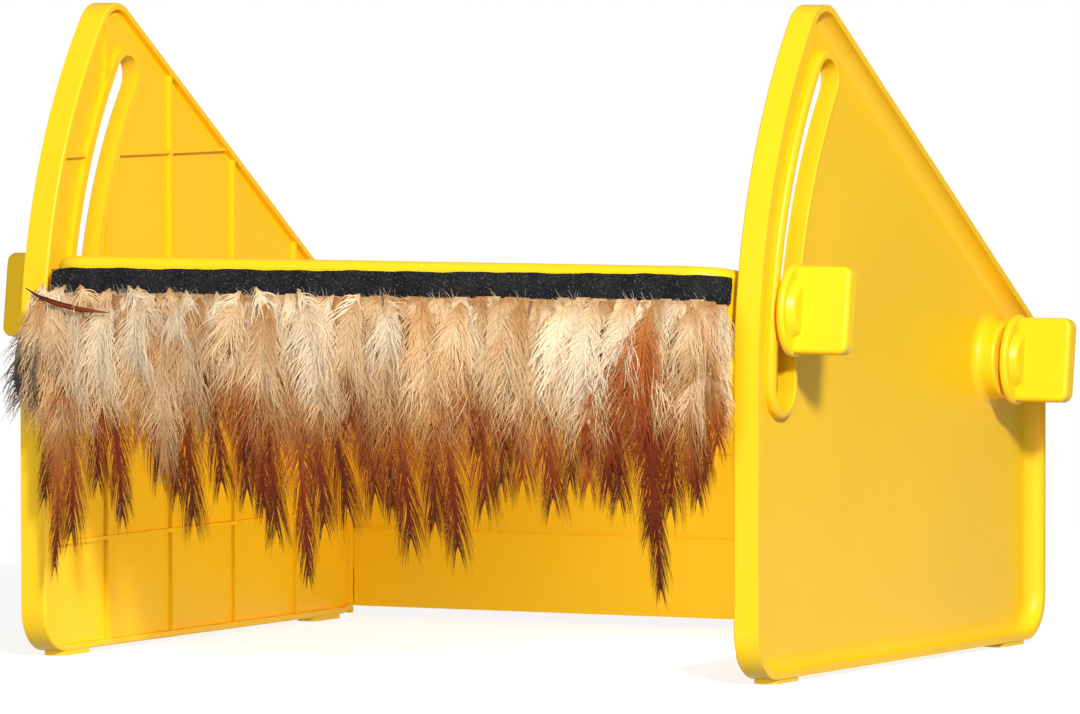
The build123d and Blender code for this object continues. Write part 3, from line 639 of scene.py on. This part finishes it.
# looser tufts in front of them
for k in range(84):
    x = -0.1715 + 0.00413 * k + d.uniform(-0.002, 0.002)
    palette = d.choice([SOFT_PALE, SOFT_WARM, SOFT_WARM, SMOKY, SOFT_TAN])
    cover.add(Feather(
        Vector((x, -0.1575 - d.uniform(0, 0.0035), 0.1696 + TUFT_SKEW * x + d.uniform(-0.0006, 0.0010))),
        d.uniform(0.015, 0.029), d.uniform(0.014, 0.020), palette, COVER_SHAPE,
        lean=d.uniform(-0.25, 0.25), puff=0.002, yaw=d.uniform(-0.3, 0.3), down=1.0, limit=SIDE_LIMIT,
    ))
# loose down that laps the tape's lower edge, closer together at the left
for k in range(20):
    x = -0.168 + 0.0046 * k * (1.0 + 0.055 * k) + d.uniform(-0.004, 0.004)
    palette = d.choice([SOFT_PALE, SOFT_PALE, SOFT_WARM])
    cover.add(Feather(
        Vector((x, -0.1618 - d.uniform(0, 0.0015), 0.1716 + d.uniform(-0.0026, 0.0018))),
        d.uniform(0.011, 0.024), d.uniform(0.012, 0.022), palette, BLUNT_SHAPE, lean=d.uniform(-0.9, 0.9),
        puff=0.002, yaw=d.uniform(-0.3, 0.3), down=1.0, limit=SIDE_LIMIT, vane=0.15,
    ))
# single hairs that stand up over the tape
for k in range(520):
    x = -SIDE_LIMIT + 0.002 + (2 * SIDE_LIMIT - 0.004) * d.random() ** 1.5
    rise = d.uniform(0.0005, 0.0060) * (0.4 + 0.6 * (sin(x * 190.0) > 0.2))
    root = Vector((x, -0.1592 - d.uniform(0, 0.002), 0.1685 + HAIR_SKEW * x))
    side = d.uniform(-0.0045, 0.0045)
    bow = d.uniform(-0.0012, 0.0012)
    pairs = []
    for share, w in ((0.0, 0.00016), (0.35, 0.00013), (0.7, 0.00009), (1.0, 0.00003)):
        p = root + Vector((side * share + bow * sin(pi * share), -0.001 * share, rise * share))
        p.x = max(-SIDE_LIMIT, min(SIDE_LIMIT, p.x))
        pairs.append((p, p + Vector((w, 0, 0.6 * w))))
    gray = d.uniform(0.55, 1.0)
    cover.strip(pairs, [tuple(c * gray for c in PALE)] * 4)
cover_tufts = cover.finish("feather_cover_tufts")
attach(cover_tufts, "curtain_header")

# feathers that lap the panels' front edges; they stay with the plate, ahead of the panels
edge = Plumage(500)
d = edge.dice
edge.add(Feather(Vector((-0.1660, -0.1650, 0.1640)), 0.046, 0.028, ASHEN, BLUNT_SHAPE, lean=-0.26, bend=0.05,
                 puff=0.003, yaw=-0.2, down=1.0))
edge.add(Feather(Vector((-0.1640, -0.1665, 0.1670)), 0.030, 0.018, SMOKY, BLUNT_SHAPE, lean=-0.15, puff=0.003,
                 yaw=-0.1, down=1.0))
for x, y, z, length, width, palette in (
    (0.1735, -0.1560, 0.1680, 0.060, 0.018, SOFT_TAN), (0.1765, -0.1545, 0.1675, 0.052, 0.016, SOFT_PALE),
    (0.1740, -0.1600, 0.1690, 0.034, 0.016, SOFT_WARM), (0.1775, -0.1570, 0.1690, 0.030, 0.014, SOFT_PALE),
):
    edge.add(Feather(Vector((x, y, z)), length, width, palette, COVER_SHAPE, lean=d.uniform(-0.04, 0.04),
                     puff=0.002, down=0.9))
feathers_edge = edge.finish("feathers_edge")
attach(feathers_edge, "plate")

# one stray quill at the left end: two crossed blades
quill = Plumage(600)
points = [
    Vector((-0.1710, -0.1680, 0.1710)), Vector((-0.1650, -0.1680, 0.1675)),
    Vector((-0.1555, -0.1685, 0.1645)), Vector((-0.1420, -0.1690, 0.1618)),
    Vector((-0.1270, -0.1690, 0.1606)),
]
widths = [0.0002, 0.0008, 0.0013, 0.0012, 0.0002]
upright = [(p - Vector((0, 0, w)), p + Vector((0, 0, w))) for p, w in zip(points, widths)]
leaning = [
    (p - Vector((0, 0.0006, 0.5 * w)), p + Vector((0, -0.0008, 0.5 * w))) for p, w in zip(points, widths)
]
quill.strip(upright, [CHAR, DARK, DARK, RUST, RUST])
quill.strip(leaning, [CHAR, DARK, RUST, RUST, AMBER])
feather_quill = quill.finish("feather_quill")
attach(feather_quill, "plate")
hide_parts("feather_curtain", "curtain_header")


# ---------------------------------------------------------------- floor, lights, world
def floor_material():
    """Plain pale floor, lit from within so that it stays near the backdrop's white."""
    n = Nodes("studio_floor")
    grain = n.noise(30.0, 3.0)
    base = n.ramp(grain, [(0.3, (0.34, 0.34, 0.34)), (0.7, (0.36, 0.36, 0.36))])
    return n.set(Base_Color=base, Roughness=0.9, Specular_IOR_Level=0.0,
                 Emission_Color=(1.0, 1.0, 1.0), Emission_Strength=0.80)


FLOOR_RADIUS, FLOOR_CORNERS, FLOOR_Z = 1.1, 96, -0.0002
turns = [2 * pi * i / FLOOR_CORNERS for i in range(FLOOR_CORNERS)]
rim = [(FLOOR_RADIUS * cos(a), FLOOR_RADIUS * sin(a), FLOOR_Z) for a in turns]
floor = mesh_piece("studio_floor", rim, [tuple(range(FLOOR_CORNERS))], floor_material())
floor.visible_diffuse = False


def disc_light(name, place, target, size, power, color):
    """A round soft light at place, aimed at target."""
    data = bpy.data.lights.new(name, "AREA")
    data.shape = "DISK"
    data.size = size
    data.energy = power
    data.color = color
    lamp = link(name, data)
    lamp.location = place
    lamp.rotation_euler = (target - place).to_track_quat("-Z", "Y").to_euler()
    return lamp


def studio_light(name, azimuth, elevation, distance, size, power, color=(1.0, 1.0, 1.0)):
    """A light aimed at the object; azimuth 0 is in front of the entrance, 90 on its right."""
    a, e = radians(azimuth), radians(elevation)
    target = Vector((0.0, 0.0, 0.14))
    place = target + distance * Vector((sin(a) * cos(e), -cos(a) * cos(e), sin(e)))
    disc_light(name, place, target, size, power, color)


studio_light("key_light", 43, 26, 3.0, 0.35, 90.0, (1.0, 0.985, 0.96))
studio_light("front_fill", 8, 10, 3.4, 1.8, 40.0)
# a soft card under the plate that fills the left panel's inner face
inner_card = disc_light("inner_card", Vector((0.100, 0.015, 0.045)), Vector((-0.176, -0.030, 0.060)),
                        0.12, 0.36, (1.0, 0.98, 0.94))
inner_card.visible_camera = False

# weak even light on the object, and plain white behind it
AMBIENT, BACKDROP = 0.34, 1.0
world = bpy.data.worlds.new("studio")
world.use_nodes = True
tree = world.node_tree
ambient = tree.nodes["Background"]
backdrop = tree.nodes.new("ShaderNodeBackground")
for background, strength in ((ambient, AMBIENT), (backdrop, BACKDROP)):
    background.inputs["Color"].default_value = (1.0, 1.0, 1.0, 1.0)
    background.inputs["Strength"].default_value = strength
chooser = tree.nodes.new("ShaderNodeMixShader")
tree.links.new(tree.nodes.new("ShaderNodeLightPath").outputs["Is Camera Ray"], chooser.inputs["Fac"])
tree.links.new(ambient.outputs["Background"], chooser.inputs[1])
tree.links.new(backdrop.outputs["Background"], chooser.inputs[2])
tree.links.new(chooser.outputs["Shader"], tree.nodes["World Output"].inputs["Surface"])
bpy.context.scene.world = world
